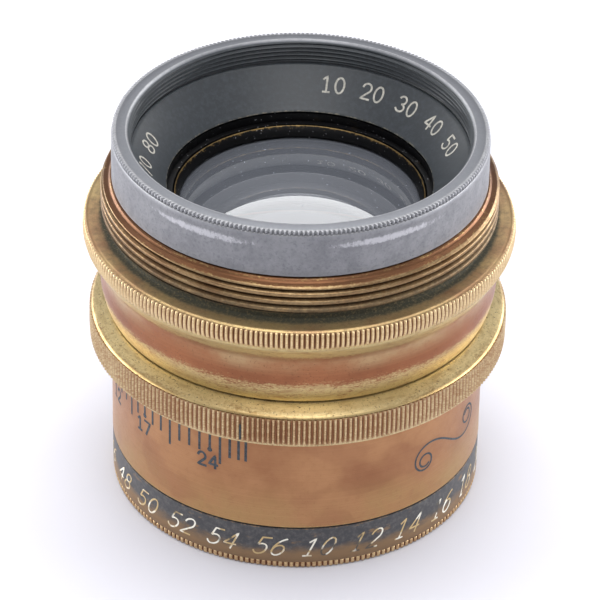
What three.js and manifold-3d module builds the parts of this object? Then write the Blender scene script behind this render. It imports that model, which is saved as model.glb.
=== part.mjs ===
// Convertible two-cell portrait lens in an iris barrel, standing on its front cell with its rear cell uppermost.
// Millimetres, +Z up along the optical axis, origin at the centre of the front rim it stands on.
import * as THREE from 'three';
import { mergeVertices } from 'three/addons/utils/BufferGeometryUtils.js';
import Module from 'manifold-3d';

const wasm = await Module();
wasm.setup();

const SEGMENTS = 48;
const GLASS_SEGMENTS = 36;
const RUN = 0.15;                 // radial running clearance of a turning or screwed fit
const CEMENT = 0.05;              // gap that stands for the cement between two lens elements

// Driving dimensions of the barrel
const HEIGHT = 48.07;             // front rim to rear rim
const SHOULDER_R = 26.0;          // crest radius of the knurled mounting shoulder
const SHOULDER_TOP = 36.4;
const MOUNT_CREST_R = 23.8;       // crest radius of the mounting thread
const BARREL_R = 22.6;
const NECK_R = 20.95;             // neck of the front barrel, inside the control ring
const HOUSING_R = 18.95;          // bore that holds the iris
const RING_R = 25.32;             // crest radius of the control ring's knurl
const REAR_CELL_R = 22.5;
const REAR_CELL_BASE = 41.87;
const CELL_TUBE_R = 16.9;         // tube that holds a cemented group
const GLASS_R = 15.0;
const GLASS_EDGE = 10.36;         // depth of the rear group's edge below the rear rim
const FRONT_GLASS_EDGE = 6.2;     // the same depth at the front

// Iris
const BLADES = 8;
const BLADE_THICK = 0.1;
const BLADE_IN = 14.2;
const BLADE_OUT = 17.6;
const PIVOT_R = 16.5;
const BLADE_SPAN = 134;           // degrees from the pivot to the driven end
const BLADE_TILT = 0.12;          // rise of a blade across the axis, so that each lies over the next
const TILT_LINE = 97;             // degrees from the pivot to the level line of a blade
const IRIS_Z = 19.45;             // where every blade's plane crosses the axis
const PIN_R = 0.35;
const HAND = -1;                  // the iris closes clockwise, seen from the rear cell

const root = new THREE.Group();
root.name = 'portrait_lens';

function material(colour, roughness, metalness) {
  return new THREE.MeshStandardMaterial({ color: colour, roughness, metalness });
}

const FINISH = {
  lacquer: () => material(0xa06b46, 0.35, 0.9),
  brass: () => material(0xb08a4a, 0.4, 0.9),
  black: () => material(0x24262a, 0.55, 0.3),
  aluminium: () => material(0xb4b6bb, 0.5, 0.9),
  steel: () => material(0x55585c, 0.45, 0.8),
  glass: () => material(0xc9d4dc, 0.05, 0.0),
};

function addMesh(name, geometry, finish) {
  const mesh = new THREE.Mesh(geometry, FINISH[finish]());
  mesh.name = name;
  root.add(mesh);
}

// Turns a closed profile of [radius, height] pairs about the axis. The winding is set so that faces point outwards.
function turned(profile, segments = SEGMENTS) {
  let area = 0;
  profile.forEach(([r, z], i) => {
    const [nextR, nextZ] = profile[(i + 1) % profile.length];
    area += r * nextZ - nextR * z;
  });
  const ordered = area > 0 ? profile : [...profile].reverse();
  const points = ordered.map(([r, z]) => new THREE.Vector2(r, z));
  const first = points[0];
  const last = points[points.length - 1];
  const endsOnAxis = first.x === 0 && last.x === 0;
  if (!endsOnAxis) points.push(first.clone());
  return new THREE.LatheGeometry(points, segments).rotateX(Math.PI / 2);
}

function solid(geometry) {
  const bare = geometry.clone();
  bare.deleteAttribute('normal');
  bare.deleteAttribute('uv');
  const merged = mergeVertices(bare, 1e-4);
  return new wasm.Manifold(new wasm.Mesh({
    numProp: 3,
    vertProperties: new Float32Array(merged.attributes.position.array),
    triVerts: new Uint32Array(merged.index.array),
  }));
}

function geometryOf(manifold) {
  const mesh = manifold.getMesh();
  const geometry = new THREE.BufferGeometry();
  geometry.setAttribute('position', new THREE.BufferAttribute(new Float32Array(mesh.vertProperties), 3));
  geometry.setIndex(new THREE.BufferAttribute(new Uint32Array(mesh.triVerts), 1));
  geometry.computeVertexNormals();
  return geometry;
}

const polar = (radius, degrees) => {
  const angle = THREE.MathUtils.degToRad(degrees);
  return new THREE.Vector2(radius * Math.cos(angle), radius * Math.sin(angle));
};

function arc(radius, from, to, steps) {
  const out = [];
  for (let i = 0; i <= steps; i += 1) out.push(polar(radius, from + ((to - from) * i) / steps));
  return out;
}

// A piece of a flat ring, bottom face at z.
function ringSector(inner, outer, from, to, z, height) {
  const steps = Math.ceil((to - from) / 7.5);
  const shape = new THREE.Shape([...arc(outer, from, to, steps), ...arc(inner, to, from, steps)]);
  return new THREE.ExtrudeGeometry(shape, { depth: height, bevelEnabled: false }).translate(0, 0, z);
}

function pin(radius, height, sides = 12) {
  return new THREE.CylinderGeometry(radius, radius, height, sides).rotateX(Math.PI / 2);
}

// ---------------------------------------------------------------- barrel

const FRONT_SEAT = 5.9;           // where the front cell's flange meets the barrel
const RING_SEAT = 19.3;           // shoulder of the front barrel under the control ring
const NECK_TOP = 29.0;
const IRIS_LEDGE = 16.05;
const DRIVE_Z = 22.3;             // height of the drive screw
const DRIVE_TRAVEL = 80;          // degrees the control ring turns
const DRIVE_START = 330;          // direction of the drive screw with the iris open
const SCREW_R = 0.4;
const SLOT_HALF_HEIGHT = 0.75;    // half the height of the slot that the drive screw runs in
const SLOT_MARGIN = 4;            // degrees of slot beyond the screw at each end of its travel

const frontBarrel = turned([
  [19.75, FRONT_SEAT], [BARREL_R - 0.1, FRONT_SEAT], [BARREL_R, FRONT_SEAT + 0.1],
  [BARREL_R, RING_SEAT - 0.1], [BARREL_R - 0.1, RING_SEAT], [NECK_R, RING_SEAT],
  [NECK_R, NECK_TOP], [HOUSING_R, NECK_TOP], [HOUSING_R, IRIS_LEDGE],
  [CELL_TUBE_R + 0.3, IRIS_LEDGE], [CELL_TUBE_R + 0.3, 10.6], [19.75, 10.6],
]);
const driveSlot = ringSector(
  HOUSING_R - 1, NECK_R + 1, DRIVE_START - DRIVE_TRAVEL - SLOT_MARGIN, DRIVE_START + SLOT_MARGIN,
  DRIVE_Z - SLOT_HALF_HEIGHT, 2 * SLOT_HALF_HEIGHT,
);
addMesh('front_barrel', geometryOf(solid(frontBarrel).subtract(solid(driveSlot))), 'lacquer');

const WAIST_R = 23.95;
const REAR_BASE = 24.9;
const SEAT_IN = 24.1;             // inner edge of the shoulder's flat face, clear of the thread crests
const UNDERCUT = 0.2;
const THREAD_RELIEF_R = 23.2;
const COLLAR_TOP = 41.75;
const CELL_HOLE_R = 21.15;
addMesh('rear_barrel', turned([
  [NECK_R + RUN, REAR_BASE], [23.1, REAR_BASE], [23.45, 25.6], [23.85, 27.4], [WAIST_R, 28.4],
  [WAIST_R, 30.6], [24.35, 31.7], [25.0, 32.5], [25.7, 33.2], [SHOULDER_R - 0.1, 33.7], [SHOULDER_R, 34.1],
  [SHOULDER_R, SHOULDER_TOP - 0.35], [SHOULDER_R - 0.35, SHOULDER_TOP], [SEAT_IN, SHOULDER_TOP],
  [SEAT_IN - 0.2, SHOULDER_TOP - UNDERCUT], [THREAD_RELIEF_R, SHOULDER_TOP - UNDERCUT],
  [THREAD_RELIEF_R, 37.5], [MOUNT_CREST_R, 37.8], [MOUNT_CREST_R, 40.9], [22.75, COLLAR_TOP],
  [CELL_HOLE_R, COLLAR_TOP], [CELL_HOLE_R, 36.9], [18.8, 36.9], [18.8, NECK_TOP + 0.2],
  [NECK_R + RUN, NECK_TOP + 0.2],
]), 'lacquer');

// ---------------------------------------------------------------- control ring and iris

const ringBore = NECK_R + RUN;
const controlRing = turned([
  [ringBore, 19.45], [24.6, 19.45], [25.05, 19.65], [RING_R, 19.95], [RING_R, 23.45], [25.05, 23.85],
  [23.15, 24.7], [ringBore, 24.7],
]);

const CAM_BASE = IRIS_Z + 2.35;
const CAM_THICK = 1.0;
const CAM_IN = 14.2;
const camOut = HOUSING_R - RUN;
const camRing = turned([
  [CAM_IN, CAM_BASE], [camOut, CAM_BASE], [camOut, CAM_BASE + CAM_THICK], [CAM_IN, CAM_BASE + CAM_THICK],
]);

// The drive screw lies along a radius, through the slot in the neck, from the control ring into the cam ring.
const SCREW_IN = 17.6;
const SCREW_OUT = 23.4;
const HOLE_CLEAR = 0.28;
function radialPin(radius, from, to) {
  return pin(radius, to - from, 16)
    .rotateY(Math.PI / 2)
    .translate((from + to) / 2, 0, 0)
    .rotateZ(THREE.MathUtils.degToRad(DRIVE_START))
    .translate(0, 0, DRIVE_Z);
}
const screwHole = solid(radialPin(SCREW_R + HOLE_CLEAR, SCREW_IN - 0.1, SCREW_OUT + 0.1));
addMesh('iris_drive_screw', radialPin(SCREW_R, SCREW_IN, SCREW_OUT), 'steel');
addMesh('iris_control_ring', geometryOf(solid(controlRing).subtract(screwHole)), 'brass');

// Position of a blade's driven pin, seen from its own pivot direction, when the blade has turned by a given angle.
function drivenPin(turn) {
  const pivot = polar(PIVOT_R, 0);
  return polar(PIVOT_R, HAND * BLADE_SPAN).sub(pivot)
    .rotateAround(new THREE.Vector2(), THREE.MathUtils.degToRad(HAND * turn))
    .add(pivot);
}

// The slot is as wide as the pin's path needs while the cam ring turns two degrees for each degree of the blade.
const SLOT_HALF = 0.95;
function camSlot(index) {
  const outer = drivenPin(0).length() + PIN_R + 0.35;
  const depth = outer - CAM_IN + 1;
  return new THREE.BoxGeometry(depth, 2 * SLOT_HALF, CAM_THICK + 1)
    .translate(outer - depth / 2, 0, CAM_BASE + CAM_THICK / 2)
    .rotateZ(THREE.MathUtils.degToRad(HAND * BLADE_SPAN + (index * 360) / BLADES));
}
let cam = solid(camRing).subtract(solid(radialPin(SCREW_R + HOLE_CLEAR / 2, SCREW_IN - 0.1, HOUSING_R)));
for (let i = 0; i < BLADES; i += 1) cam = cam.subtract(solid(camSlot(i)));
addMesh('iris_cam_ring', geometryOf(cam), 'steel');

const BASE_TOP = IRIS_Z - 2.35;
const BASE_THICK = 0.95;
const baseOut = HOUSING_R - 0.1;
let basePlate = solid(turned([
  [CAM_IN, BASE_TOP - BASE_THICK], [baseOut, BASE_TOP - BASE_THICK], [baseOut, BASE_TOP], [CAM_IN, BASE_TOP],
]));

// Every blade lies in its own plane through the centre of the iris and turns about that plane's normal.
function bladeFrame(index) {
  const level = polar(1, HAND * TILT_LINE);
  const tilt = new THREE.Matrix4()
    .makeRotationAxis(new THREE.Vector3(level.x, level.y, 0), HAND * Math.atan(BLADE_TILT));
  return new THREE.Matrix4().makeTranslation(0, 0, IRIS_Z)
    .multiply(new THREE.Matrix4().makeRotationZ((index * 2 * Math.PI) / BLADES))
    .multiply(tilt);
}

const END_R = 1.1;
const PIVOT_PIN = 0.9;            // length of the pin below the blade
const DRIVEN_PIN = 1.75;          // length of the pin above it
function bladeBody() {
  const end = HAND * BLADE_SPAN;
  const outline = new THREE.Shape([...arc(BLADE_OUT, 0, end, 18), ...arc(BLADE_IN, end, 0, 18)]);
  const plate = new THREE.ExtrudeGeometry(outline, { depth: BLADE_THICK, bevelEnabled: false })
    .translate(0, 0, -BLADE_THICK / 2);
  const pivot = polar(PIVOT_R, 0);
  const driven = drivenPin(0);
  const eye = (at) => solid(pin(END_R, BLADE_THICK, 20).translate(at.x, at.y, 0));
  const down = solid(pin(PIN_R, PIVOT_PIN).translate(pivot.x, pivot.y, -PIVOT_PIN / 2));
  const up = solid(pin(PIN_R, DRIVEN_PIN).translate(driven.x, driven.y, DRIVEN_PIN / 2));
  return solid(plate).add(eye(pivot)).add(eye(driven)).add(down).add(up);
}

const blade = geometryOf(bladeBody());
const pivotHole = pin(PIN_R + 0.12, 2 * PIVOT_PIN + 1).translate(PIVOT_R, 0, -PIVOT_PIN - 0.4);
for (let i = 0; i < BLADES; i += 1) {
  const frame = bladeFrame(i);
  addMesh(`iris_blade_${i + 1}`, blade.clone().applyMatrix4(frame), 'steel');
  basePlate = basePlate.subtract(solid(pivotHole.clone().applyMatrix4(frame)));
}
addMesh('iris_base_plate', geometryOf(basePlate), 'steel');

const RETAINER_BASE = CAM_BASE + CAM_THICK + 0.95;
const RETAINER_TOP = RETAINER_BASE + 1.15;
addMesh('iris_retaining_ring', turned([
  [CAM_IN, RETAINER_BASE], [baseOut, RETAINER_BASE], [baseOut, RETAINER_TOP], [CAM_IN + 0.6, RETAINER_TOP],
  [CAM_IN, RETAINER_TOP - 0.3],
]), 'black');

// ---------------------------------------------------------------- lens groups

// One cemented group, measured inwards from the glass edge: [depth at the rim, radius of curvature] per surface.
const SURFACES = [[0.27, 45], [1.88, 70], [5.83, 35], [6.9, 60], [9.14, 38]];
const ARC_STEPS = 3;
function surfaceDepth([rimDepth, radius], r) {
  return rimDepth + Math.sqrt(radius * radius - GLASS_R * GLASS_R) - Math.sqrt(radius * radius - r * r);
}
function addGroup(prefix, toZ, stretch) {
  for (let i = 0; i < SURFACES.length - 1; i += 1) {
    const outerFace = [SURFACES[i][0] + (i ? CEMENT : 0), SURFACES[i][1] * stretch];
    const innerFace = [SURFACES[i + 1][0], SURFACES[i + 1][1] * stretch];
    const profile = [];
    for (let k = 0; k <= ARC_STEPS; k += 1) {
      const r = (GLASS_R * k) / ARC_STEPS;
      profile.push([r, toZ(surfaceDepth(outerFace, r))]);
    }
    for (let k = ARC_STEPS; k >= 0; k -= 1) {
      const r = (GLASS_R * k) / ARC_STEPS;
      profile.push([r, toZ(surfaceDepth(innerFace, r))]);
    }
    addMesh(`${prefix}_element_${i + 1}`, turned(profile, GLASS_SEGMENTS), 'glass');
  }
}
const rearZ = (depth) => HEIGHT - GLASS_EDGE - depth;
const frontZ = (depth) => FRONT_GLASS_EDGE + depth;
addGroup('rear', rearZ, 1);
addGroup('front', frontZ, 1.2);

// ---------------------------------------------------------------- rear cell

const FUNNEL_IN = 15.92;
const FUNNEL_OUT = 20.1;
const FUNNEL_TOP = 44.9;
const FUNNEL_FOOT = 40.6;
const SHELL_BORE = 20.5;
const SPIGOT_R = 21.0;            // part of the rear cell that screws into the collar
const SPIGOT_FOOT = 37.2;
const CELL_FLANGE_BASE = 39.55;
addMesh('rear_cell_shell', turned([
  [SHELL_BORE + 0.24, HEIGHT], [REAR_CELL_R - 0.3, HEIGHT], [REAR_CELL_R, HEIGHT - 0.3],
  [REAR_CELL_R, REAR_CELL_BASE + 0.1], [REAR_CELL_R - 0.1, REAR_CELL_BASE],
  [SPIGOT_R, REAR_CELL_BASE], [SPIGOT_R, SPIGOT_FOOT], [CELL_TUBE_R + RUN, SPIGOT_FOOT],
  [CELL_TUBE_R + RUN, CELL_FLANGE_BASE], [SHELL_BORE, CELL_FLANGE_BASE],
  [SHELL_BORE, HEIGHT - 0.2],
]), 'aluminium');

addMesh('rear_cell_funnel', turned([
  [FUNNEL_IN, FUNNEL_FOOT], [FUNNEL_IN + 0.3, FUNNEL_FOOT - 0.15], [SHELL_BORE - 0.1, FUNNEL_FOOT - 0.15],
  [SHELL_BORE - 0.1, FUNNEL_TOP], [FUNNEL_OUT, FUNNEL_TOP],
]), 'black');

const TUBE_BORE = GLASS_R + 0.15;
const LIP_R = 13.6;
const LIP_THICK = 0.9;
const REAR_TUBE_FOOT = 27.2;
const REAR_TUBE_TOP = 39.3;
const FLANGE_TOP = 40.35;
addMesh('rear_lens_cell', turned([
  [FUNNEL_IN - 0.02, FLANGE_TOP], [FUNNEL_IN - 0.02, REAR_TUBE_TOP], [TUBE_BORE + 0.1, REAR_TUBE_TOP],
  [TUBE_BORE, REAR_TUBE_TOP - 0.3], [TUBE_BORE, REAR_TUBE_FOOT + LIP_THICK],
  [LIP_R, REAR_TUBE_FOOT + LIP_THICK - 0.2], [LIP_R, REAR_TUBE_FOOT], [CELL_TUBE_R, REAR_TUBE_FOOT],
  [CELL_TUBE_R, CELL_FLANGE_BASE + 0.1], [SHELL_BORE - 0.1, CELL_FLANGE_BASE + 0.1],
  [SHELL_BORE - 0.1, FLANGE_TOP],
]), 'black');

const RETAINER_IN = 14.42;        // inner edge of the rings that hold the groups in
addMesh('rear_retaining_ring', turned([
  [RETAINER_IN, 37.95], [TUBE_BORE - 0.08, 37.7], [TUBE_BORE - 0.08, REAR_TUBE_TOP - 0.1],
  [14.95, REAR_TUBE_TOP - 0.1], [RETAINER_IN, 38.1],
]), 'black');

// ---------------------------------------------------------------- front cell

const FRONT_RIM_R = 20.5;
const FRONT_FLANGE_TOP = FRONT_SEAT - RUN;
const FRONT_SPIGOT_R = 19.6;
const FRONT_SPIGOT_TOP = 10.3;
const FRONT_LIP_TOP = 5.3;
addMesh('front_cell_shell', turned([
  [FRONT_RIM_R, 0], [BARREL_R - 0.25, 0], [BARREL_R - 0.03, 0.22], [BARREL_R - 0.03, FRONT_FLANGE_TOP - 0.1],
  [BARREL_R - 0.13, FRONT_FLANGE_TOP], [FRONT_SPIGOT_R, FRONT_FLANGE_TOP], [FRONT_SPIGOT_R, FRONT_SPIGOT_TOP],
  [CELL_TUBE_R + RUN, FRONT_SPIGOT_TOP], [CELL_TUBE_R + RUN, FRONT_LIP_TOP], [FUNNEL_IN, FRONT_LIP_TOP],
  [FUNNEL_IN, FRONT_LIP_TOP - 0.8],
]), 'black');

const FRONT_TUBE_FOOT = 5.45;
const FRONT_TUBE_TOP = 15.85;
addMesh('front_lens_cell', turned([
  [TUBE_BORE, FRONT_TUBE_FOOT], [CELL_TUBE_R, FRONT_TUBE_FOOT], [CELL_TUBE_R, FRONT_TUBE_TOP],
  [LIP_R, FRONT_TUBE_TOP], [LIP_R, FRONT_TUBE_TOP - 0.25], [TUBE_BORE, FRONT_TUBE_TOP - 0.25],
]), 'black');

addMesh('front_retaining_ring', turned([
  [RETAINER_IN, 6.1], [TUBE_BORE - 0.08, 6.25], [TUBE_BORE - 0.08, FRONT_TUBE_FOOT + 0.05],
  [14.85, FRONT_TUBE_FOOT + 0.05], [RETAINER_IN, 5.9],
]), 'black');

export default root;
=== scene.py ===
"""Looks of the convertible portrait lens: knurled and threaded brass, an aluminium rear cell, real glass.

Lengths are millimetres until make_object turns them into metres. +Z is up, and the lens stands on its
front cell.
"""
import math

import bpy
import numpy as np
from mathutils import Matrix, Vector


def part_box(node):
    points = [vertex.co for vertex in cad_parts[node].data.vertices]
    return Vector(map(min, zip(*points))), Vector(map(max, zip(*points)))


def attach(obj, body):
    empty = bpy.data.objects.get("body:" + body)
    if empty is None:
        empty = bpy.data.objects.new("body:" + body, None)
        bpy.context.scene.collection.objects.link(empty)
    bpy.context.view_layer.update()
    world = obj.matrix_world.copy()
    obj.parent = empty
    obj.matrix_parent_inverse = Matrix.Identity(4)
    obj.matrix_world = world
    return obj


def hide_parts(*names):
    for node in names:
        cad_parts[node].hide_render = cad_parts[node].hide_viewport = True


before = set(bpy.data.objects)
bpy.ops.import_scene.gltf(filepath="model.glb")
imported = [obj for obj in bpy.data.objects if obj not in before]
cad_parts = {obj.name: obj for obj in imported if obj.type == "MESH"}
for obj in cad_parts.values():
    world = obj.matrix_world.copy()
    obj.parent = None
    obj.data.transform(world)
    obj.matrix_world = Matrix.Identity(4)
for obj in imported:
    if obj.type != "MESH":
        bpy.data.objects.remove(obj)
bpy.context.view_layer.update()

MM = 0.001
TAU = 2 * math.pi


# ---------------------------------------- places taken from the frame

def low(node):
    return Vector(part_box(node)[0]) / MM


def high(node):
    return Vector(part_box(node)[1]) / MM


REAR_RIM = high("rear_cell_shell").z
REAR_R = high("rear_cell_shell").x
SHOULDER_R = high("rear_barrel").x
COLLAR_TOP = high("rear_barrel").z
BARREL_FOOT = low("rear_barrel").z
RING_R = high("iris_control_ring").x
RING_TOP = high("iris_control_ring").z
RING_FOOT = low("iris_control_ring").z
BARREL_R = high("front_barrel").x
BARREL_LOW = low("front_barrel").z
FRONT_R = high("front_cell_shell").x
GLASS_R = high("rear_element_1").x
FUNNEL_TOP = high("rear_cell_funnel").z


# ---------------------------------------- meshes

def make_object(name, verts, faces, attributes=None, crease=35):
    mesh = bpy.data.meshes.new(name)
    mesh.from_pydata((np.asarray(verts) * MM).tolist(), [], faces)
    mesh.update()
    for key, values in (attributes or {}).items():
        layer = mesh.attributes.new(key, "FLOAT", "POINT")
        layer.data.foreach_set("value", np.asarray(values, dtype=np.float32))
    mesh.polygons.foreach_set("use_smooth", [True] * len(mesh.polygons))
    mesh.set_sharp_from_angle(angle=math.radians(crease))
    obj = bpy.data.objects.new(name, mesh)
    bpy.context.scene.collection.objects.link(obj)
    return obj


def ring_faces(rows, steps, closed):
    """Faces between neighbouring rows of points round the axis, facing out of the profile."""
    count = len(rows)
    faces = []
    for i in range(count if closed else count - 1):
        k = (i + 1) % count
        for j in range(steps):
            n = (j + 1) % steps
            faces.append((i * steps + j, k * steps + j, k * steps + n, i * steps + n))
    return [face[::-1] for face in faces] if signed_area(rows) > 0 else faces


def revolve(name, rows, steps, relief=None, crease=35):
    """Turns a closed profile of rows (radius, height, wear, dirt, zone) about the axis. The dirt column
    lays grime and painted shade alike.

    relief(angle, row) gives the cut below the surface and how far into a groove the point is, from 0 to 1.
    """
    angles = np.arange(steps) * TAU / steps
    verts, wear, dirt_and_shade, groove = [], [], [], []
    for index, (radius, height, row_wear, row_dirt_and_shade, *_) in enumerate(rows):
        cut, depth = relief(angles, index) if relief else (np.zeros(steps), np.zeros(steps))
        r = radius - cut
        verts.append(np.stack([r * np.cos(angles), r * np.sin(angles), np.full(steps, height)], -1))
        wear.append(np.full(steps, row_wear))
        dirt_and_shade.append(np.full(steps, row_dirt_and_shade))
        groove.append(depth)
    columns = {"wear": wear, "dirt_and_shade": dirt_and_shade, "groove": groove}
    attributes = {key: np.concatenate(values) for key, values in columns.items()}
    obj = make_object(name, np.concatenate(verts), ring_faces(rows, steps, closed=True), attributes, crease)
    obj["zones"] = [row[4] if len(row) > 4 else 0 for row in rows for _ in range(steps)]
    return obj


def zoned(rows, zone):
    """The same rows with the material zone that the surface after each of them belongs to."""
    return [row[:4] + (zone,) for row in rows]


def signed_area(rows):
    total = 0.0
    for a, b in zip(rows, rows[1:] + rows[:1]):
        total += a[0] * b[1] - a[1] * b[0]
    return total


def tooth(angles, count, sharp):
    """Depth, 0 at a crest and 1 in a groove, of evenly cut teeth."""
    wave = 0.5 - 0.5 * np.cos(angles * count)
    return wave ** sharp


def band(start, end, count, wear=0.0, dirt_and_shade=0.0):
    """Evenly spaced rows between two (radius, height) points, ends included."""
    out = []
    for i in range(count):
        t = i / (count - 1)
        out.append((start[0] + t * (end[0] - start[0]), start[1] + t * (end[1] - start[1]), wear, dirt_and_shade))
    return out


def knurled_ring(name, inner, crest, foot, top, teeth, depth, crown, wear, sharp=1.4):
    """A ring with upright teeth, cut less deep at both edges. crown rounds the teeth along their length."""
    per_tooth, count, bevel, edge_cut = 8, 9, 0.06, 0.72
    rows = [(inner, foot + bevel, 0, 0.3)]
    for i in range(count):
        t = i / (count - 1)
        swell = crown * (1 - (2 * t - 1) ** 2) - crown
        rows.append((crest + swell, foot + t * (top - foot), wear, 0.0))
    rows.append((inner, top - bevel, 0, 0.3))

    def relief(angles, row):
        if row in (0, len(rows) - 1):
            return np.zeros(len(angles)), np.zeros(len(angles))
        depth_here = tooth(angles, teeth, sharp)
        edge = edge_cut if row in (1, len(rows) - 2) else 1.0
        return depth * edge * depth_here, depth_here * edge
    return revolve(name, rows, teeth * per_tooth, relief, crease=80)


# ---------------------------------------- materials

def linear(*rgb):
    def channel(c):
        c /= 255
        return c / 12.92 if c <= 0.04045 else ((c + 0.055) / 1.055) ** 2.4
    return tuple(channel(c) for c in rgb) + (1.0,)


class Graph:
    """A short way to write a material's nodes."""

    def __init__(self, name):
        self.material = bpy.data.materials.new(name)
        self.material.use_nodes = True
        self.tree = self.material.node_tree
        self.shader = self.tree.nodes["Principled BSDF"]
        self.where = self.add("ShaderNodeTexCoord").outputs["Object"]

    def add(self, kind, **settings):
        node = self.tree.nodes.new(kind)
        for key, value in settings.items():
            setattr(node, key, value)
        return node

    def put(self, socket, value):
        if isinstance(value, bpy.types.NodeSocket):
            self.tree.links.new(value, socket)
        else:
            socket.default_value = value

    def math(self, operation, a, b=0.0, clamp=False):
        node = self.add("ShaderNodeMath", operation=operation, use_clamp=clamp)
        self.put(node.inputs[0], a)
        self.put(node.inputs[1], b)
        return node.outputs[0]

    def mix(self, factor, a, b, blend="MIX"):
        node = self.add("ShaderNodeMix", data_type="RGBA", blend_type=blend)
        self.put(node.inputs["Factor"], factor)
        self.put(node.inputs[6], a)
        self.put(node.inputs[7], b)
        return node.outputs[2]

    def scale(self, vector, x, y, z):
        node = self.add("ShaderNodeVectorMath", operation="MULTIPLY")
        self.put(node.inputs[0], vector)
        node.inputs[1].default_value = (x, y, z)
        return node.outputs[0]

    def noise(self, scale, detail=3.0, rough=0.55, vector=None, distortion=0.0):
        node = self.add("ShaderNodeTexNoise")
        self.put(node.inputs["Vector"], self.where if vector is None else vector)
        node.inputs["Scale"].default_value = scale
        node.inputs["Detail"].default_value = detail
        node.inputs["Roughness"].default_value = rough
        node.inputs["Distortion"].default_value = distortion
        return node.outputs["Fac"]

    def step(self, value, start, end):
        node = self.add("ShaderNodeMapRange", interpolation_type="SMOOTHSTEP")
        self.put(node.inputs["Value"], value)
        node.inputs["From Min"].default_value = start
        node.inputs["From Max"].default_value = end
        return node.outputs["Result"]

    def attribute(self, name):
        return self.add("ShaderNodeAttribute", attribute_name=name).outputs["Fac"]

    def round_the_axis(self):
        """(distance from the axis, height, 0): what is constant along a turned cut."""
        split = self.add("ShaderNodeSeparateXYZ")
        self.put(split.inputs[0], self.where)
        x, y, z = split.outputs
        squares = self.math("ADD", self.math("MULTIPLY", x, x), self.math("MULTIPLY", y, y))
        joined = self.add("ShaderNodeCombineXYZ")
        self.put(joined.inputs[0], self.math("SQRT", squares))
        self.put(joined.inputs[1], z)
        return joined.outputs[0]

    def height(self):
        split = self.add("ShaderNodeSeparateXYZ")
        self.put(split.inputs[0], self.where)
        return split.outputs[2]

    def patch(self, centre, half_width, height, half_height, ragged):
        """A frayed mark on a cylinder: angles in degrees from -Y towards +X, heights in mm."""
        split = self.add("ShaderNodeSeparateXYZ")
        self.put(split.inputs[0], self.where)
        angle = self.math("ARCTAN2", split.outputs[0], self.math("MULTIPLY", split.outputs[1], -1.0))
        across = self.math("ABSOLUTE", self.math("SUBTRACT", angle, math.radians(centre)))
        across = self.math("DIVIDE", across, math.radians(half_width))
        along = self.math("ABSOLUTE", self.math("SUBTRACT", split.outputs[2], height * MM))
        along = self.math("DIVIDE", along, half_height * MM)
        reach = self.math("ADD", self.math("POWER", across, 2.0), self.math("POWER", along, 2.0))
        reach = self.math("ADD", reach, self.math("MULTIPLY", self.math("SUBTRACT", ragged, 0.5), 5.0))
        return self.step(reach, 1.3, 0.1)

    def lathe_lines(self, scale=9000):
        return self.noise(scale, 2.0, 0.6, self.round_the_axis())

    def bump(self, height, strength, distance=0.00005):
        node = self.add("ShaderNodeBump")
        node.inputs["Strength"].default_value = strength
        node.inputs["Distance"].default_value = distance
        self.put(node.inputs["Height"], height)
        self.put(self.shader.inputs["Normal"], node.outputs["Normal"])

    def finish(self, colour, roughness, metallic, **constants):
        self.put(self.shader.inputs["Base Color"], colour)
        self.put(self.shader.inputs["Roughness"], roughness)
        self.put(self.shader.inputs["Metallic"], metallic)
        for name, value in constants.items():
            self.shader.inputs[name.replace("_", " ")].default_value = value
        return self.material


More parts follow.
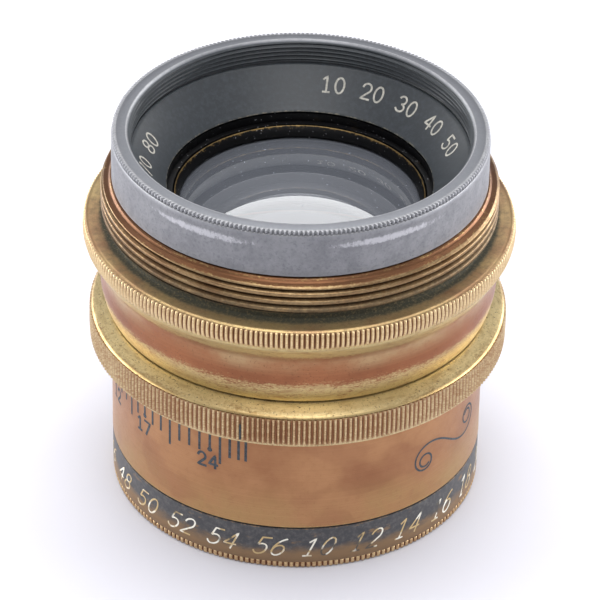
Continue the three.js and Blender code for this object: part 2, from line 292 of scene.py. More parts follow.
def brass_material(name, light, dark, bare, grime_and_shade, groove, stain=0.0, pits=0.35, painted_light_band=None):
    """Lacquer over brass. wear bares the metal, the dirt rows lay grime together with painted shade, and
    cuts are darkened in their grooves with grime and painted shade.

    The last argument paints a highlight: a lighter colour over a range of heights, given as (colour, height
    in mm where it is full, height in mm where it ends).
    """
    g = Graph(name)
    cloud = g.noise(110, 4.0, 0.6)
    fine = g.noise(1300, 4.0, 0.7)
    streak = g.noise(1500, 3.0, 0.65, g.scale(g.where, 0.3, 0.3, 2.2))
    lines = g.lathe_lines()
    colour = g.mix(g.step(cloud, 0.32, 0.7), dark, light)
    # Painted highlight: a lighter colour laid over a range of heights.
    if painted_light_band:
        where_painted_light = g.step(g.height(), painted_light_band[2] * MM, painted_light_band[1] * MM)
        colour = g.mix(where_painted_light, colour, g.mix(g.step(cloud, 0.3, 0.7), painted_light_band[0], light))
    if stain:
        blot = g.noise(120, 2.0, 0.45, g.scale(g.where, 1.0, 1.0, 1.3))
        colour = g.mix(g.math("MULTIPLY", g.step(blot, 0.53, 0.6), stain), colour, linear(132, 84, 66))
    colour = g.mix(g.math("MULTIPLY", g.step(fine, 0.5, 0.78), 0.3), colour, dark)
    grain = g.noise(5200, 3.0, 0.7, g.scale(g.where, 0.5, 0.5, 1.2))
    ragged = g.math("MULTIPLY", g.math("SUBTRACT", streak, 0.5), 1.1)
    ragged = g.math("ADD", ragged, g.math("MULTIPLY", g.math("SUBTRACT", grain, 0.5), 1.3))
    wear = g.math("ADD", g.attribute("wear"), ragged)
    wear = g.math("ADD", wear, g.math("MULTIPLY", g.math("SUBTRACT", cloud, 0.5), 0.5))
    bared = g.step(wear, 0.26, 0.76)
    bare_colour = g.mix(g.math("MULTIPLY", g.step(streak, 0.48, 0.66), 0.45), bare, dark)
    colour = g.mix(bared, colour, bare_colour)
    pitted = g.step(g.noise(3400, 4.0, 0.75), 0.58, 0.65)
    colour = g.mix(g.math("MULTIPLY", pitted, pits), colour, grime_and_shade)
    # Grime and painted shade: threads and knurls are darker in their grooves.
    colour = g.mix(g.step(g.attribute("groove"), 0.35, 0.95), colour, groove)
    # The dirt rows lay grime and painted shade: a painted shadow under the rear cell, in the relief groove,
    # on the shoulder and below the control ring.
    dirt_and_shade = g.math("ADD", g.attribute("dirt_and_shade"), g.math("MULTIPLY", g.math("SUBTRACT", fine, 0.5), 0.6))
    dirt_and_shade_mask = g.step(dirt_and_shade, 0.15, 0.85)
    powdery = g.math("MULTIPLY", g.step(g.noise(3400, 3.0, 0.7), 0.45, 0.75), 0.3)
    colour = g.mix(dirt_and_shade_mask, colour, g.mix(powdery, grime_and_shade, light))
    colour = g.mix(0.2, colour, g.mix(lines, linear(40, 28, 18), linear(255, 240, 210)), "SOFT_LIGHT")
    rough = g.math("ADD", 0.3, g.math("MULTIPLY", dirt_and_shade_mask, 0.3))
    rough = g.math("ADD", rough, g.math("MULTIPLY", fine, 0.15))
    metal = g.math("SUBTRACT", 0.92, g.math("MULTIPLY", dirt_and_shade_mask, 0.55))
    g.bump(g.math("SUBTRACT", g.math("ADD", g.math("MULTIPLY", lines, 0.4), fine), pitted), 0.25)
    return g.finish(colour, rough, metal)


def aluminium_material():
    g = Graph("satin_aluminium")
    fine = g.noise(2600, 4.0, 0.7)
    cloud = g.noise(420, 5.0, 0.75)
    lines = g.lathe_lines(7000)
    colour = g.mix(g.step(cloud, 0.3, 0.7), linear(124, 124, 127), linear(142, 142, 144))
    colour = g.mix(g.math("MULTIPLY", g.step(fine, 0.48, 0.75), 0.6), colour, linear(98, 101, 108))
    frayed = g.noise(2200, 5.0, 0.8, g.scale(g.where, 1.0, 1.0, 0.7))
    rubs = g.math("MAXIMUM", g.patch(-31, 16, 46.0, 0.5, frayed), g.patch(27, 17, 46.0, 0.45, frayed))
    colour = g.mix(g.math("MULTIPLY", rubs, 0.65), colour, linear(206, 205, 208))
    colour = g.mix(g.math("MULTIPLY", g.attribute("wear"), 0.45), colour, linear(190, 191, 195))
    # Grime and painted shade from the dirt rows, with painted shade in the bead's grooves.
    dirt_and_shade = g.math("ADD", g.attribute("dirt_and_shade"), g.math("MULTIPLY", g.attribute("groove"), 0.5))
    colour = g.mix(g.step(dirt_and_shade, 0.35, 0.95), colour, linear(104, 106, 111))
    g.bump(g.math("ADD", fine, g.math("MULTIPLY", lines, 0.4)), 0.3)
    return g.finish(colour, g.math("ADD", 0.42, g.math("MULTIPLY", fine, 0.16)), 0.75)


def black_material(name, base, lift, rubbed, amount, foot=0.0, gloss=0.5, dust=0.0):
    """Black lacquer or enamel. Edges and rubs show the metal under it.

    foot bares it towards the foot of the lens, gloss is its shine, and dust strews pale specks on it.
    """
    g = Graph(name)
    fine = g.noise(1600, 4.0, 0.7)
    rubs = g.noise(330, 4.0, 0.65, g.scale(g.where, 1.0, 1.0, 2.6))
    colour = g.mix(g.step(fine, 0.4, 0.75), base, lift)
    edge = g.math("ADD", g.attribute("wear"), g.math("MULTIPLY", g.math("SUBTRACT", fine, 0.5), 1.0))
    bared = g.math("MAXIMUM", g.step(edge, 0.45, 0.7), g.math("MULTIPLY", g.step(rubs, 0.6, 0.72), amount))
    if foot:
        streaks = g.noise(260, 4.0, 0.7, g.scale(g.where, 1.0, 1.0, 3.0))
        low_down = g.math("ADD", g.step(g.height(), 4.8 * MM, 0.8 * MM), g.math("SUBTRACT", streaks, 0.5))
        bared = g.math("MAXIMUM", bared, g.math("MULTIPLY", g.step(low_down, 0.3, 0.9), foot))
    colour = g.mix(bared, colour, rubbed)
    if dust:
        specks = g.step(g.noise(3600, 2.0, 0.5), 0.7, 0.74)
        colour = g.mix(g.math("MULTIPLY", specks, dust), colour, linear(176, 176, 180))
    lines = g.lathe_lines(6000)
    g.bump(g.math("ADD", g.math("MULTIPLY", lines, 0.5), fine), 0.25)
    rough = g.math("ADD", 0.38, g.math("MULTIPLY", fine, 0.2))
    return g.finish(colour, rough, g.math("MULTIPLY", bared, 0.85), Specular_IOR_Level=gloss)


def steel_material():
    g = Graph("dark_steel")
    fine = g.noise(1800, 3.0, 0.6)
    colour = g.mix(fine, linear(58, 60, 66), linear(104, 106, 112))
    g.bump(fine, 0.2)
    return g.finish(colour, g.math("ADD", 0.35, g.math("MULTIPLY", fine, 0.2)), 0.85)


def glass_material(name, haze):
    """Clear glass; haze is the thin film of dust that an old lens has on its outer face."""
    g = Graph(name)
    g.shader.inputs["Transmission Weight"].default_value = 1.0
    g.shader.inputs["IOR"].default_value = 1.61
    g.shader.inputs["Coat Weight"].default_value = 1.0
    g.shader.inputs["Coat IOR"].default_value = 1.65
    g.shader.inputs["Coat Roughness"].default_value = 0.0
    g.shader.inputs["Roughness"].default_value = 0.0
    g.put(g.shader.inputs["Base Color"], g.mix(g.noise(40), (0.93, 0.95, 1.0, 1), (0.97, 0.98, 1.0, 1)))
    dust = g.add("ShaderNodeBsdfDiffuse")
    dust.inputs["Color"].default_value = (0.62, 0.66, 0.76, 1)
    specks = g.step(g.noise(2600, 2.0, 0.4), 0.735, 0.76)
    veil = g.math("ADD", haze, g.math("MULTIPLY", g.noise(120, 3.0), 0.4 * haze))
    film = g.math("ADD", veil, g.math("MULTIPLY", specks, 4 * haze))
    mixed = g.add("ShaderNodeMixShader")
    g.put(mixed.inputs[0], film)
    g.put(mixed.inputs[1], g.shader.outputs[0])
    g.put(mixed.inputs[2], dust.outputs[0])
    g.put(g.tree.nodes["Material Output"].inputs["Surface"], mixed.outputs[0])
    return g.material


def fill_material(name, dark, light, rough, metallic=0.0):
    g = Graph(name)
    grain = g.noise(2500, 3.0, 0.7)
    colour = g.mix(g.step(grain, 0.35, 0.7), dark, light)
    g.bump(grain, 0.3)
    return g.finish(colour, rough, metallic)


def worn_fill_material(name, filled, rubbed, empty):
    """White-filled engraving that has partly worn down to brass or fallen out."""
    g = Graph(name)
    patches = g.noise(420, 3.0, 0.6)
    colour = g.mix(g.step(patches, 0.46, 0.56), rubbed, filled)
    colour = g.mix(g.step(g.noise(260, 3.0, 0.6), 0.56, 0.64), colour, empty)
    g.bump(patches, 0.2)
    return g.finish(colour, 0.5, 0.1)


BARE = linear(188, 166, 112)
BROWN = linear(74, 50, 34)
# The lacquer's band paints the lower front barrel lighter, and the red lacquer's band paints the upper
# waist lighter: painted highlights.
LACQUER = brass_material("amber_lacquer", linear(174, 130, 94), linear(150, 106, 76), BARE, BROWN, BROWN,
                         stain=0.22, pits=0.12, painted_light_band=(linear(172, 140, 96), 7, 13))
RED = brass_material("red_lacquer", linear(154, 102, 72), linear(136, 88, 62), linear(198, 178, 130),
                     BROWN, BROWN, pits=0.45, painted_light_band=(linear(182, 156, 118), 31.2, 28.6))
COLLAR = brass_material("collar_lacquer", linear(116, 80, 56), linear(100, 70, 50), BARE, BROWN, BROWN,
                        pits=0.1)
THREAD = brass_material("threaded_brass", linear(146, 120, 88), linear(120, 94, 68), linear(170, 148, 112),
                        linear(46, 44, 36), linear(62, 48, 38), pits=0.2)
OLIVE = brass_material("tarnished_brass", linear(176, 154, 112), linear(146, 112, 86),
                       linear(190, 168, 112), linear(58, 58, 47), linear(58, 56, 46), pits=0.35)
RING = brass_material("worn_brass", linear(198, 176, 128), linear(156, 130, 88), linear(208, 190, 144),
                      linear(74, 60, 44), BROWN, pits=0.9)
KNURL = brass_material("knurled_brass", linear(200, 168, 130), linear(180, 142, 106),
                       linear(222, 198, 156), linear(96, 66, 50), linear(104, 66, 50), pits=0.12)
RING_KNURL = brass_material("ring_knurl", linear(186, 156, 120), linear(168, 136, 102),
                            linear(212, 194, 156), linear(96, 62, 48), linear(138, 98, 74), pits=0.12)
ALUMINIUM = aluminium_material()
WORN_BLACK = black_material("worn_black", linear(56, 56, 59), linear(88, 86, 85), linear(146, 118, 88), 0.7,
                            foot=0.9)
ENAMEL = black_material("black_enamel", linear(42, 46, 50), linear(54, 59, 64), linear(120, 116, 104), 0.0)
DEEP = black_material("deep_black", linear(4, 4, 5), linear(10, 10, 12), linear(126, 104, 66), 0.05,
                      gloss=0.15, dust=0.6)
STEEL = steel_material()
HAZY_GLASS = glass_material("optical_glass", 0.09)
CLEAN_GLASS = glass_material("inner_glass", 0.01)
INK = fill_material("blue_black_fill", linear(36, 44, 50), linear(66, 74, 80), 0.6)
PALE = fill_material("pale_fill", linear(150, 147, 138), linear(190, 186, 176), 0.55)
BRASSY = worn_fill_material("worn_fill", linear(232, 228, 214), linear(190, 164, 116), linear(84, 76, 66))


def dress(obj, material, body, slot, *replaced):
    """Gives a piece its material, or one material for each zone of its rows, and its body. The slot
    argument is not used.
    """
    obj.data.materials.clear()
    materials = material if isinstance(material, (list, tuple)) else [material]
    for entry in materials:
        obj.data.materials.append(entry)
    if "zones" in obj:
        if len(materials) > 1:
            obj.data.polygons.foreach_set("material_index", list(obj["zones"]))
        del obj["zones"]
    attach(obj, body)
    if replaced:
        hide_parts(*replaced)
    return obj


# ---------------------------------------- rear barrel: collar, thread, shoulder and waist

THREAD_PITCH = 1.05
THREAD_DEPTH = 0.62
THREAD_CREST = 23.8
THREAD_LOW = 37.55
THREAD_HIGH = 41.2
BARREL_STEPS = 360
SHOULDER_TOP = 36.4
SHOULDER_LOW = 34.0
SHOULDER_TEETH = 272

# The dirt values in these rows are partly painted shade: a painted shadow in the gap under the rear cell,
# in the relief groove and on the shoulder under the collar, with grime on the shoulder. The thread gets
# darker towards the bottom.
collar = [(21.15, COLLAR_TOP, 0.1, 0.2), (22.55, COLLAR_TOP, 0.2, 0.0),
          (22.7, COLLAR_TOP - 0.12, 0.35, 0.0), (22.78, COLLAR_TOP - 0.32, 0.05, 0.0),
          (23.0, COLLAR_TOP - 0.45, 0.05, 0.15), (23.45, COLLAR_TOP - 0.52, 0.3, 0.0)]
thread = band((THREAD_CREST, THREAD_HIGH), (THREAD_CREST, THREAD_LOW), 74, wear=0.4)
thread = [(r, z, wear, 0.1 + 0.45 * i / len(thread)) for i, (r, z, wear, _) in enumerate(thread)]
relief_groove = [(23.2, THREAD_LOW - 0.12, 0.0, 0.55), (23.12, 37.0, 0.0, 0.95), (23.15, 36.62, 0.0, 1.0),
                 (23.3, 36.5, 0.0, 0.95)]
shoulder = [(23.7, 36.44, 0.0, 0.8), (24.2, SHOULDER_TOP, 0.12, 0.42), (24.8, SHOULDER_TOP, 0.2, 0.42),
            (25.1, SHOULDER_TOP - 0.02, 0.08, 0.36), (25.45, SHOULDER_TOP - 0.03, 0.05, 0.15),
            (25.62, SHOULDER_TOP - 0.18, 0.3, 0.0), (25.4, SHOULDER_TOP - 0.3, 0.3, 0.0),
            (25.4, SHOULDER_LOW + 0.15, 0.5, 0.0)]
waist = [(25.66, SHOULDER_LOW, 0.95, 0.0), (25.6, 33.72, 0.95, 0.0), (25.4, 33.35, 0.95, 0.0),
         (25.1, 32.9, 0.9, 0.0), (24.8, 32.4, 0.8, 0.0), (24.5, 31.95, 0.45, 0.0),
         (24.25, 31.5, 0.12, 0.0), (24.05, 31.0, 0.0, 0.0), (23.95, 30.3, 0.0, 0.0),
         (23.92, 29.5, 0.0, 0.0), (23.93, 28.8, 0.0, 0.0), (23.95, 28.2, 0.12, 0.0),
         (23.92, 27.75, 0.38, 0.0), (23.85, 27.2, 0.62, 0.0), (23.7, 26.6, 0.7, 0.0),
         (23.55, 26.0, 0.72, 0.0), (23.35, 25.4, 0.8, 0.0), (23.12, BARREL_FOOT, 0.9, 0.1)]
inside = [(21.12, BARREL_FOOT, 0.1, 0.5), (21.12, 29.2, 0, 0), (18.8, 29.2, 0, 0), (18.8, 36.9, 0, 0),
          (21.15, 36.9, 0, 0)]
# The zones pick from REAR_BARREL_FINISHES.
rear_rows = (zoned(collar, 3) + zoned(thread, 1) + zoned(relief_groove, 2) + zoned(shoulder, 2)
             + zoned(waist + inside, 0))
REAR_BARREL_FINISHES = [RED, THREAD, OLIVE, COLLAR]
THREAD_FIRST = len(collar)
THREAD_LAST = THREAD_FIRST + len(thread) - 1


def mount_thread(angles, row):
    if not THREAD_FIRST <= row <= THREAD_LAST:
        return np.zeros(len(angles)), np.zeros(len(angles))
    height = rear_rows[row][1]
    phase = height / THREAD_PITCH + angles / TAU
    groove = (0.5 - 0.5 * np.cos(phase * TAU)) ** 2.4
    ends = min(1.0, (THREAD_HIGH - height) / 0.45, (height - THREAD_LOW + 0.2) / 0.4)
    lead = 0.3 * max(0.0, 1 - (THREAD_HIGH - height) / 0.3)
    return THREAD_DEPTH * groove * max(ends, 0.15) + lead, groove * 0.95


dress(revolve("rear_barrel_turned", rear_rows, BARREL_STEPS, mount_thread, crease=40), REAR_BARREL_FINISHES,
      "barrel", "lacquered_brass", "rear_barrel")
dress(knurled_ring("shoulder_knurl", 25.2, SHOULDER_R, SHOULDER_LOW, SHOULDER_TOP - 0.22, SHOULDER_TEETH,
                   depth=0.3, crown=0.2, wear=0.78),
      KNURL, "barrel", "lacquered_brass")


# ---------------------------------------- control ring

TURNED_STEPS = 256                      # faces round every other turned piece
RING_TEETH = 259
RING_KNURL_TOP = 23.55
ring_rows = [(21.1, RING_TOP, 0.2, 0.4), (23.0, RING_TOP, 0.9, 0.05), (23.25, RING_TOP - 0.06, 1.0, 0.0),
             (23.7, RING_TOP - 0.25, 0.85, 0.0), (24.3, RING_TOP - 0.52, 0.7, 0.0),
             (24.8, RING_TOP - 0.76, 0.5, 0.0), (24.98, RING_TOP - 0.9, 0.2, 0.1),
             (25.08, RING_TOP - 1.1, 0.15, 0.1), (24.85, 23.4, 0.3, 0.0), (24.85, 20.1, 0.3, 0.0),
             (25.05, RING_FOOT + 0.5, 0.9, 0.0), (24.95, RING_FOOT + 0.22, 1.0, 0.0),
             (24.6, RING_FOOT, 0.9, 0.0), (21.1, RING_FOOT, 0.1, 0.5)]
dress(revolve("control_ring_turned", ring_rows, TURNED_STEPS), RING, "control_ring", "worn_brass",
      "iris_control_ring")
dress(knurled_ring("control_ring_knurl", 24.6, RING_R, RING_FOOT + 0.5, RING_KNURL_TOP, RING_TEETH,
                   depth=0.32, crown=0.04, wear=0.5, sharp=1.1),
      RING_KNURL, "control_ring", "worn_brass")


# ---------------------------------------- front barrel and front cell

barrel_rows = [(19.75, BARREL_LOW, 0, 0.5), (BARREL_R - 0.12, BARREL_LOW, 0.3, 0.3),
               (BARREL_R, BARREL_LOW + 0.12, 0.42, 0.1)]
barrel_rows += band((BARREL_R, 6.6), (BARREL_R, 18.6), 12, 0.0, 0.0)
# The dirt values just below the control ring paint a thin shadow line under it: painted shadow.
barrel_rows += [(BARREL_R, 19.15, 0.1, 0.3), (BARREL_R - 0.1, 19.3, 0.1, 0.4), (20.95, 19.3, 0, 0.4),
                (20.95, 28.95, 0, 0), (18.95, 28.95, 0, 0), (18.95, 16.05, 0, 0.6), (17.2, 16.05, 0, 0.6),
                (17.2, 10.6, 0, 0.5), (19.75, 10.6, 0, 0.5)]
dress(revolve("front_barrel_turned", barrel_rows, TURNED_STEPS), LACQUER, "barrel", "lacquered_brass",
      "front_barrel")

SEAM = high("front_cell_shell").z
FRONT_TOP = 5.75
FOOT_TOP = 0.72
FOOT_TEETH = 207
front_rows = [(20.5, 0.02, 0.3, 0), (22.1, 0.02, 0.7, 0), (22.15, 0.08, 0.7, 0),
              (22.15, FOOT_TOP - 0.04, 0.7, 0.0), (22.5, FOOT_TOP + 0.02, 0.85, 0.0),
              (FRONT_R, FOOT_TOP + 0.12, 0.5, 0.0)]
front_rows += band((FRONT_R, 1.4), (FRONT_R, 5.0), 6, 0.0, 0.0)
front_rows += [(FRONT_R, 5.5, 0.12, 0), (FRONT_R - 0.04, 5.68, 0.55, 0), (22.4, FRONT_TOP, 0.2, 0),
               (19.6, FRONT_TOP, 0, 0), (19.6, SEAM, 0, 0), (17.05, SEAM, 0, 0), (17.05, 5.3, 0, 0),
               (15.92, 5.3, 0, 0), (15.92, 4.5, 0.5, 0), (16.1, 4.3, 0, 0)]
dress(revolve("front_cell_turned", front_rows, TURNED_STEPS), WORN_BLACK, "front_cell", "worn_black",
      "front_cell_shell")
dress(knurled_ring("front_cell_knurl", 21.9, FRONT_R, 0.0, FOOT_TOP, FOOT_TEETH,
                   depth=0.2, crown=0.08, wear=0.5),
      KNURL, "front_cell", "worn_black")


# ---------------------------------------- rear cell

SHELL_LOW = 41.87
INNER_PITCH = 0.55
INNER_TOP = REAR_RIM - 0.25
INNER_LOW = FUNNEL_TOP + 0.02
INNER_DEPTH = 0.3
BLACKED_R = 20.66                       # inside this radius the thread is blackened
BEAD_TEETH = 260
shell_rows = [(20.72, REAR_RIM, 0.5, 0.0), (20.86, REAR_RIM, 0.0, 0.8), (21.8, REAR_RIM - 0.01, 0.0, 0.8),
              (22.0, REAR_RIM - 0.12, 0.2, 0.5), (22.0, REAR_RIM - 0.5, 0.2, 0.5),
              (REAR_R - 0.06, REAR_RIM - 0.62, 0.5, 0.0), (REAR_R, REAR_RIM - 0.75, 0.35, 0.0)]
shell_rows += band((REAR_R, REAR_RIM - 1.2), (REAR_R, 42.4), 9)
# The dirt on the cell's underside paints the gap above the collar dark: painted shade.
shell_rows += [(REAR_R, SHELL_LOW + 0.12, 0.35, 0), (REAR_R - 0.12, SHELL_LOW, 0.2, 0.2),
               (21.0, SHELL_LOW, 0, 0.9), (21.0, 37.2, 0, 0), (17.05, 37.2, 0, 0), (17.05, 39.55, 0, 0),
               (20.5, 39.55, 0, 0), (20.5, INNER_LOW, 0, 0)]
INNER_FIRST = len(shell_rows)
shell_rows += band((20.5, INNER_LOW + 0.05), (20.5, INNER_TOP), 52, 0.0, 1.0)
INNER_LAST = len(shell_rows) - 1


def inner_thread(angles, row):
    if not INNER_FIRST <= row <= INNER_LAST:
        return np.zeros(len(angles)), np.zeros(len(angles))
    height = shell_rows[row][1]
    phase = height / INNER_PITCH + angles / TAU
    ridge = (0.5 + 0.5 * np.cos(phase * TAU)) ** 1.4
    ends = min(1.0, (INNER_TOP - height) / 0.3, (height - INNER_LOW) / 0.3)
    return INNER_DEPTH * ridge * max(ends, 0.0), np.zeros(len(angles))


shell = revolve("rear_cell_turned", shell_rows, TURNED_STEPS, inner_thread, crease=40)
dress(shell, ALUMINIUM, "rear_cell", "satin_aluminium", "rear_cell_shell")
shell.data.materials.append(ENAMEL)
for polygon in shell.data.polygons:
    row = min(polygon.vertices) // TURNED_STEPS
    if INNER_FIRST - 1 <= row < INNER_LAST and polygon.center.to_2d().length / MM < BLACKED_R:
        polygon.material_index = 1
# The bead's crests are painted paler through wear: partly rubbed metal, partly a painted highlight.
dress(knurled_ring("rear_cell_bead", 21.7, REAR_R - 0.04, REAR_RIM - 0.62, REAR_RIM - 0.05, BEAD_TEETH,
                   depth=0.26, crown=0.16, wear=0.6),
      ALUMINIUM, "rear_cell", "satin_aluminium")

FUNNEL_FOOT = low("rear_cell_funnel").z + 0.15
FUNNEL_IN = 15.92
funnel_rows = [(20.4, FUNNEL_TOP, 0.1, 0), (20.1, FUNNEL_TOP, 0.2, 0), (19.95, FUNNEL_TOP - 0.1, 0.1, 0)]
CONE_HIGH = (19.8, FUNNEL_TOP - 0.27)
CONE_LOW = (16.15, FUNNEL_FOOT + 0.25)
funnel_rows += band(CONE_HIGH, CONE_LOW, 14)
funnel_rows += [(FUNNEL_IN + 0.06, FUNNEL_FOOT + 0.12, 0.5, 0), (FUNNEL_IN, FUNNEL_FOOT, 0.55, 0),
                (FUNNEL_IN + 0.25, FUNNEL_FOOT - 0.14, 0, 0), (20.4, FUNNEL_FOOT - 0.14, 0, 0)]
dress(revolve("rear_funnel_turned", funnel_rows, TURNED_STEPS), ENAMEL, "rear_cell", "black_enamel",
      "rear_cell_funnel")


# ---------------------------------------- inner pieces that keep their CAD shape

def repaint(node, material):
    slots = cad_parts[node].data.materials
    slots.clear()
    slots.append(material)


for kept in ("rear_lens_cell", "front_lens_cell", "iris_retaining_ring", "front_retaining_ring"):
    repaint(kept, DEEP)
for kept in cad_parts:
    if kept.startswith("iris_blade") or kept in ("iris_base_plate", "iris_cam_ring", "iris_drive_screw"):
        repaint(kept, STEEL)

# The threaded ring that holds the rear group in, with a rubbed inner edge: heights are below its top.
RETAINER_TOP = high("rear_retaining_ring").z
RETAINER_STEPS = 192
retainer_rows = [(r, RETAINER_TOP - below, worn, 0) for r, below, worn in (
    (14.42, 1.27, 0.0), (15.05, 1.47, 0), (15.05, 0.04, 0.0), (14.97, 0.0, 0.75), (14.86, 0.08, 0.5),
    (14.44, 1.07, 0.0))]
dress(revolve("rear_retaining_turned", retainer_rows, RETAINER_STEPS), DEEP, "rear_lens_group",
      "black_enamel", "rear_retaining_ring")


# ---------------------------------------- glass

GLASS_STEPS = 192
GLASS_RINGS = 36
GLASS_TRIM = 0.998                      # keeps the polished body just inside the CAD elements
OUTER_FACE, EDGE, INNER_FACE = 0, 1, 2  # zones of a group's faces


def fall(radius, r):
    """How far a spherical face has fallen away at a distance r from the axis."""
    return radius - math.sqrt(radius * radius - r * r)


def lens_group(name, prefix, up, body, outer_radius, inner_radius):
    """One polished body for a cemented group, since cement hides the faces inside it."""
    outer = high(f"{prefix}_element_1").z if up else low(f"{prefix}_element_1").z
    inner = low(f"{prefix}_element_4").z if up else high(f"{prefix}_element_4").z
    side = 1 if up else -1
    edge_fall = fall(inner_radius, GLASS_R)
    radii = [GLASS_R * i / GLASS_RINGS * GLASS_TRIM for i in range(1, GLASS_RINGS + 1)]
    rows = [(r, outer - side * fall(outer_radius, r)) for r in radii]
    rows += [(r, inner + side * (edge_fall - fall(inner_radius, r))) for r in reversed(radii)]
    angles = np.arange(GLASS_STEPS) * TAU / GLASS_STEPS
    verts = [(r * math.cos(a), r * math.sin(a), z) for r, z in rows for a in angles]
    outer_tip = len(verts)
    verts += [(0, 0, outer), (0, 0, inner + side * edge_fall)]
    faces = ring_faces(rows, GLASS_STEPS, closed=False)
    zones = [OUTER_FACE] * (GLASS_RINGS - 1) + [EDGE] + [INNER_FACE] * (GLASS_RINGS - 1)
    zones = [zone for zone in zones for _ in range(GLASS_STEPS)]
    last_row = (len(rows) - 1) * GLASS_STEPS
    flip = signed_area(rows) > 0
    for j in range(GLASS_STEPS):
        n = (j + 1) % GLASS_STEPS
        fans = [(outer_tip, j, n), (outer_tip + 1, last_row + n, last_row + j)]
        faces += [fan[::-1] if flip else fan for fan in fans]
        zones += [OUTER_FACE, INNER_FACE]
    group = make_object(name, verts, faces, crease=50)
    group["zones"] = zones
    elements = [f"{prefix}_element_{i}" for i in range(1, 5)]
    dress(group, [HAZY_GLASS, DEEP, CLEAN_GLASS], body, "optical_glass", *elements)


lens_group("rear_glass_body", "rear", True, "rear_lens_group", 45, 38)
lens_group("front_glass_body", "front", False, "front_lens_group", 54, 45.6)


# ---------------------------------------- engraving: numerals, scale marks and a scroll

def bow(cx, cy, rx, ry, start, end, count=16):
    angles = np.radians(np.linspace(start, end, count))
    return [(cx + rx * math.cos(a), cy + ry * math.sin(a)) for a in angles]


NUMERALS = {
    "0": [bow(0.3, 0.5, 0.28, 0.5, 0, 360)],
    "1": [[(0.1, 0.8), (0.32, 1.0), (0.32, 0.0)], [(0.12, 0.0), (0.52, 0.0)]],
    "2": [bow(0.3, 0.7, 0.27, 0.3, 170, -35) + [(0.02, 0.0), (0.6, 0.0)]],
    "3": [bow(0.28, 0.74, 0.25, 0.26, 155, -90) + bow(0.28, 0.25, 0.3, 0.25, 90, -155)],
    "4": [[(0.6, 0.28), (0.0, 0.28), (0.44, 1.0), (0.44, 0.0)]],
    "5": [[(0.55, 1.0), (0.12, 1.0), (0.08, 0.55)] + bow(0.28, 0.31, 0.3, 0.31, 130, -155)],
    "6": [bow(0.62, 0.34, 0.6, 0.66, 105, 175), bow(0.3, 0.3, 0.28, 0.3, 0, 360)],
    "7": [[(0.02, 1.0), (0.6, 1.0), (0.2, 0.0)]],
    "8": [bow(0.3, 0.75, 0.23, 0.25, 0, 360), bow(0.3, 0.26, 0.29, 0.26, 0, 360)],
    "9": [bow(-0.02, 0.66, 0.6, 0.66, -75, -5), bow(0.3, 0.7, 0.28, 0.3, 0, 360)],
}
ADVANCE = 0.84


def text_strokes(text, height, centre=0.0, base=0.0, slant=0.0):
    """Strokes of a number in millimetres, centred on `centre` and standing on `base`."""
    out = []
    left = centre - height * (ADVANCE * len(text) - 0.24) / 2
    for i, figure in enumerate(text):
        for line in NUMERALS[figure]:
            out.append([(left + height * (i * ADVANCE + x + slant * y), base + height * y)
                        for x, y in line])
    return out


def evenly(points, spacing):
    """The same line with points added so that none are further apart than the spacing."""
    out = [points[0]]
    for a, b in zip(points, points[1:]):
        count = max(1, math.ceil(np.linalg.norm(b - a) / spacing))
        out += [a + (b - a) * i / count for i in range(1, count + 1)]
    return np.array(out)


def inlay(name, strokes, width, place):
    """Ribbons along strokes, laid on a surface by place(u, v), which gives a point in millimetres."""
    verts, faces = [], []
    for line in strokes:
        points = evenly(np.array(line, dtype=float), 0.2)
        step = np.gradient(points, axis=0)
        step /= np.linalg.norm(step, axis=1)[:, None] + 1e-9
        side = np.stack([-step[:, 1], step[:, 0]], -1) * width / 2
        points[0] -= step[0] * width / 3
        points[-1] += step[-1] * width / 3
        first = len(verts)
        for point, offset in zip(points, side):
            verts += [place(*(point + offset)), place(*(point - offset))]
        for i in range(len(points) - 1):
            k = first + 2 * i
            faces.append((k, k + 1, k + 3, k + 2))
    return make_object(name, verts, faces)


def on_cylinder(radius, proud=0.015):
    """u runs round the cylinder from -Y towards +X, v is the height."""
    def place(u, v):
        angle = u / radius - math.pi / 2
        return ((radius + proud) * math.cos(angle), (radius + proud) * math.sin(angle), v)
    return place


WIDEST, NARROWEST = 28, 6               # the aperture scale, in millimetres


def scale_angle(aperture):
    """The angle of a mark. The widest is 14.9 degrees left of the middle; the others draw apart from it."""
    closed = WIDEST - aperture
    return -math.radians(14.9 + 3.92 * closed - 5.0 * (1 - math.exp(-closed / 2.5)))


MARK_TOP = RING_FOOT - 0.2
DOT_R = 0.16
SCALE_WIDTH = 0.34
SCALE_FIGURE, SCALE_BASE = 1.85, 13.0
SHORT_END, LONG_END, DOT_END = 15.2, 14.0, 15.7
marks, figures = [], []
for aperture in range(WIDEST, NARROWEST - 1, -1):
    u = scale_angle(aperture) * BARREL_R
    end = LONG_END if aperture in (25, 20, 15, 10) else SHORT_END
    if aperture in (24, 17, 12, 8):
        end = DOT_END
        marks.append([(u + DOT_R * math.cos(a), end - 0.12 + DOT_R * math.sin(a))
                      for a in np.linspace(0, TAU, 13)])
        figures += text_strokes(str(aperture), SCALE_FIGURE, u - 0.3, SCALE_BASE)
    marks.append([(u, MARK_TOP), (u, end)])
place_on_barrel = on_cylinder(BARREL_R)
dress(inlay("aperture_marks", marks, SCALE_WIDTH, place_on_barrel), INK, "barrel", "lacquered_brass")
dress(inlay("aperture_figures", figures, SCALE_WIDTH, place_on_barrel), INK, "barrel", "lacquered_brass")


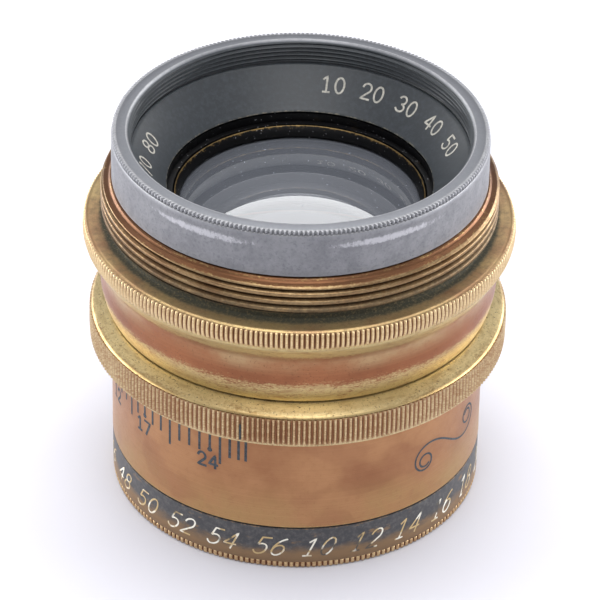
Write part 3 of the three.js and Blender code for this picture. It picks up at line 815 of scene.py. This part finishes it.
def scroll_line(centre, height, size, tilt, turns=2.65, count=240):
    """An S that bends more the further it is from its middle, so that it curls up at both ends."""
    s = np.linspace(-turns, turns, count)
    heading = math.pi * s * s / 2 - math.pi / 4 + tilt
    x = np.cumsum(np.cos(heading)) * (s[1] - s[0]) * size
    y = np.cumsum(np.sin(heading)) * (s[1] - s[0]) * size
    return np.stack([x - x.mean() + centre, y - y.mean() + height], -1)


# It stands on the right, where a maker's script would be.
SCROLL_ANGLE = math.radians(55)
scroll = scroll_line(BARREL_R * SCROLL_ANGLE, 12.6, 6.4, 0.2)
dress(inlay("scroll", [scroll], 0.26, place_on_barrel), INK, "barrel", "lacquered_brass")

# Plain numbers round the front cell and on the rear cell's funnel.
FRONT_FIGURES = 24
FRONT_FIGURE, FRONT_BASE = 2.5, 1.75
ring_strokes = []
for i in range(FRONT_FIGURES):
    u = TAU * FRONT_R * (i + 0.45) / FRONT_FIGURES
    ring_strokes += text_strokes(str(10 + 2 * i), FRONT_FIGURE, u, FRONT_BASE, slant=0.45)
dress(inlay("front_cell_figures", ring_strokes, 0.22, on_cylinder(FRONT_R)), BRASSY, "front_cell",
      "worn_black")

CONE_R = (CONE_LOW[0] + CONE_HIGH[0]) / 2
CONE_SLOPE = math.hypot(CONE_HIGH[0] - CONE_LOW[0], CONE_HIGH[1] - CONE_LOW[1])


def on_funnel(u, v, proud=0.015):
    """u runs clockwise round the funnel, seen from the rear, and v up its slope from the foot."""
    t = v / CONE_SLOPE
    radius = CONE_LOW[0] + t * (CONE_HIGH[0] - CONE_LOW[0]) - proud
    height = CONE_LOW[1] + t * (CONE_HIGH[1] - CONE_LOW[1]) + proud
    angle = math.pi / 2 - u / CONE_R
    return (radius * math.cos(angle), radius * math.sin(angle), height)


FUNNEL_FIGURE, FUNNEL_BASE = 1.95, 2.3
FUNNEL_PLACES = {"10": 12, "20": 28, "30": 44, "40": 60, "50": 76, "60": 250, "70": 266, "80": 282}
funnel_strokes = []
for number, degrees in FUNNEL_PLACES.items():
    funnel_strokes += text_strokes(number, FUNNEL_FIGURE, math.radians(degrees) * CONE_R, FUNNEL_BASE)
dress(inlay("funnel_figures", funnel_strokes, 0.24, on_funnel), PALE, "rear_cell", "black_enamel")

# The index on the control ring: a dark filled groove between two teeth, above the widest aperture.
INDEX_FOOT, INDEX_TOP = 20.1, 22.2
tooth_pitch = TAU / RING_TEETH
teeth_round = math.floor((scale_angle(WIDEST) - math.pi / 2) / tooth_pitch)
index_u = ((teeth_round + 0.5) * tooth_pitch + math.pi / 2) * RING_R
index_line = [(index_u, INDEX_FOOT), (index_u, INDEX_TOP)]
dress(inlay("index_mark", [index_line], 0.2, on_cylinder(RING_R, -0.16)), INK, "control_ring", "worn_brass")


# ---------------------------------------- floor, lights and camera

def floor_material():
    g = Graph("pale_floor")
    return g.finish(g.mix(g.noise(6, 2.0), linear(204, 205, 213), linear(208, 208, 216)), 0.8, 0.0)


def table_top():
    """A pale table that ends a little way in front of the lens."""
    side, front, far, top = 1.5, -0.30, 2.5, -0.0002
    mesh = bpy.data.meshes.new("floor")
    mesh.from_pydata([(-side, front, top), (side, front, top), (side, far, top), (-side, far, top)], [],
                     [(0, 1, 2, 3)])
    obj = bpy.data.objects.new("floor", mesh)
    bpy.context.scene.collection.objects.link(obj)
    obj.data.materials.append(floor_material())
    return obj


floor = table_top()

AIM = Vector((0, 0, 0.03))
SIDE_BOX = (0.7, 0.18)


def area_light(name, shape, place, power):
    """An area light at a place, facing the lens."""
    light = bpy.data.lights.new(name, "AREA")
    light.shape = shape
    light.energy = power
    obj = bpy.data.objects.new(name, light)
    bpy.context.scene.collection.objects.link(obj)
    obj.location = place
    obj.rotation_euler = (AIM - place).to_track_quat("-Z", "Y").to_euler()
    return light


def side_light(name, x):
    """A long low softbox beside the lens."""
    light = area_light(name, "RECTANGLE", Vector((x, 0.16, 0.11)), 4.0)
    light.size, light.size_y = SIDE_BOX


def round_light(name, elevation, azimuth, distance, radius, power):
    """A round softbox in a direction: elevation above the floor, azimuth from +X."""
    flat = math.cos(math.radians(elevation))
    way = Vector((flat * math.cos(math.radians(azimuth)), flat * math.sin(math.radians(azimuth)),
                  math.sin(math.radians(elevation))))
    light = area_light(name, "DISK", AIM + way * distance, power)
    light.size = 2 * radius


round_light("top_box", 67, 90, 0.75, 0.40, 5.8)
round_light("front_box", 62, -90, 0.80, 0.34, 3.7)
side_light("left_box", -0.54)
side_light("right_box", 0.54)


def studio_world():
    """Even pale light, dimmer low down behind the lens, where the room is dark."""
    made = bpy.data.worlds.new("studio")
    made.use_nodes = True
    nodes, links = made.node_tree.nodes, made.node_tree.links
    split = nodes.new("ShaderNodeSeparateXYZ")
    links.new(nodes.new("ShaderNodeTexCoord").outputs["Generated"], split.inputs[0])
    behind = nodes.new("ShaderNodeMapRange")
    behind.interpolation_type = "SMOOTHSTEP"
    for name, value in (("From Min", 0.2), ("From Max", 0.7), ("To Min", 0.52), ("To Max", 0.38)):
        behind.inputs[name].default_value = value
    links.new(split.outputs[1], behind.inputs["Value"])
    background = nodes["Background"]
    background.inputs["Color"].default_value = (0.92, 0.94, 1.0, 1)
    links.new(behind.outputs[0], background.inputs["Strength"])
    return made


bpy.context.scene.world = studio_world()
bpy.context.scene.view_settings.view_transform = "Standard"

# The camera stands 534 mm from the lens at a long focal length, looks down on it and leans very slightly.
LOOK_DOWN = math.radians(34.09)
LEAN = math.radians(1.08)
DISTANCE = 0.5344
back = Vector((0, -math.cos(LOOK_DOWN), math.sin(LOOK_DOWN)))
right = Vector((1, 0, 0))
up = back.cross(right)
lean_right = right * math.cos(LEAN) + up * math.sin(LEAN)
lean_up = up * math.cos(LEAN) - right * math.sin(LEAN)
target = Vector((0.00026, 0, 0.02354))
camera_data = bpy.data.cameras.new("camera")
camera_data.sensor_width = 36
camera_data.lens = 264
camera = bpy.data.objects.new("camera", camera_data)
bpy.context.scene.collection.objects.link(camera)
turn = Matrix((lean_right, lean_up, back)).transposed()
camera.matrix_world = Matrix.Translation(target + back * DISTANCE) @ turn.to_4x4()
bpy.context.scene.camera = camera
